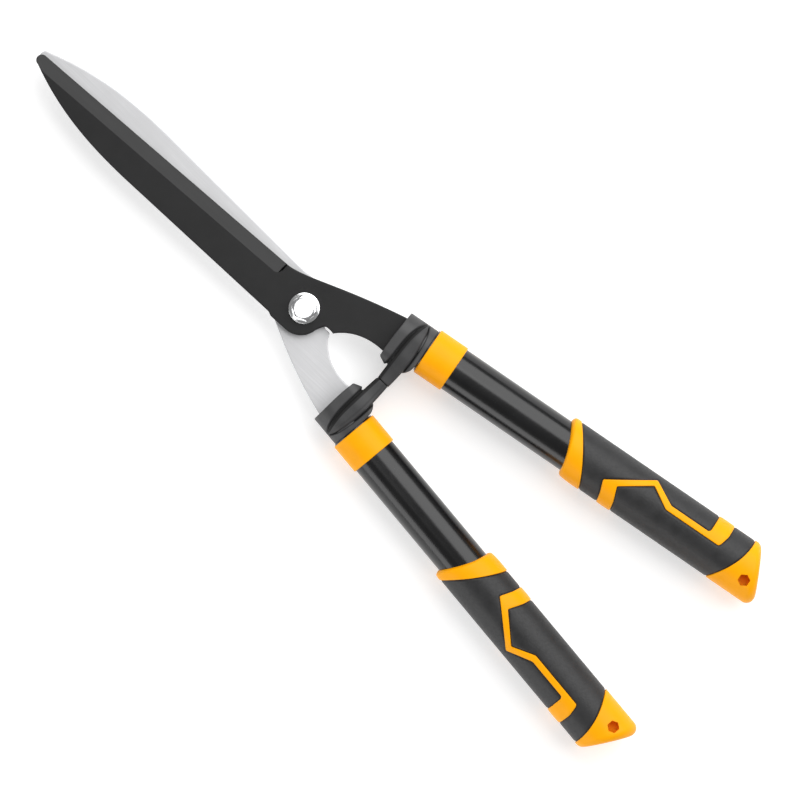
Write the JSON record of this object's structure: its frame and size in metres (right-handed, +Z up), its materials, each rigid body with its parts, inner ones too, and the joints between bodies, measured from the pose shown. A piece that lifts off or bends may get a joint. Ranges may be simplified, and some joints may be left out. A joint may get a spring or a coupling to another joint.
{
  "type": "grass shears",
  "caption": "Long-handled grass shears: a black and a bright blade crossing on a hex pivot bolt, tube handles with collars, leaf-shaped bumpers and banded soft grips.",
  "frame": {"origin": "centre of the pivot bolt's tail face, on the pivot axis, level with the undersides of the grips", "axes": "+Y from the pivot to the blade tips, +X to the side of the black blade's handle, +Z up along the pivot axis towards the bolt's head"},
  "size_m": [0.1633, 0.5375, 0.035],
  "materials": {
    "black_blade": "matt charcoal coating, the ground bevel a shade lighter",
    "bright_blade": "satin bright steel, fine lengthwise grinding marks",
    "bright_plating": "bright plated steel",
    "plain_steel": "plain steel",
    "spring_steel": "dark spring steel",
    "bearing_brass": "plain brass sheet",
    "nut_nylon": "blue nylon",
    "socket_plastic": "dark grey moulded plastic with a fine spark texture",
    "bumper_rubber": "dark grey soft rubber",
    "tube_paint": "gloss black paint on steel",
    "yellow_plastic": "yellow-orange moulded plastic, half gloss",
    "grip_rubber": "charcoal soft rubber, lightly mottled"
  },
  "bodies": {
    "upper_half": {"upper_blade": "black_blade", "upper_socket": "socket_plastic", "upper_bumper": "bumper_rubber", "upper_tang_pin": "plain_steel", "upper_collar": "yellow_plastic", "upper_tube": "tube_paint", "upper_grip_core": "yellow_plastic", "upper_front_pad": "grip_rubber", "upper_rear_pad": "grip_rubber", "pivot_bolt": "bright_plating", "blade_washer": "bearing_brass", "flat_washer": "bright_plating", "disc_spring": "spring_steel", "lock_nut": "bright_plating", "nut_insert": "nut_nylon"},
    "lower_half": {"lower_blade": "bright_blade", "lower_socket": "socket_plastic", "lower_bumper": "bumper_rubber", "lower_tang_pin": "plain_steel", "lower_collar": "yellow_plastic", "lower_tube": "tube_paint", "lower_grip_core": "yellow_plastic", "lower_front_pad": "grip_rubber", "lower_rear_pad": "grip_rubber"}
  },
  "joints": [
    {"name": "pivot", "type": "hinge", "parent": "upper_half", "child": "lower_half", "pos_m": [0, 0, 0], "axis": [0, 0, -1], "range_deg": [0, 60]}
  ]
}
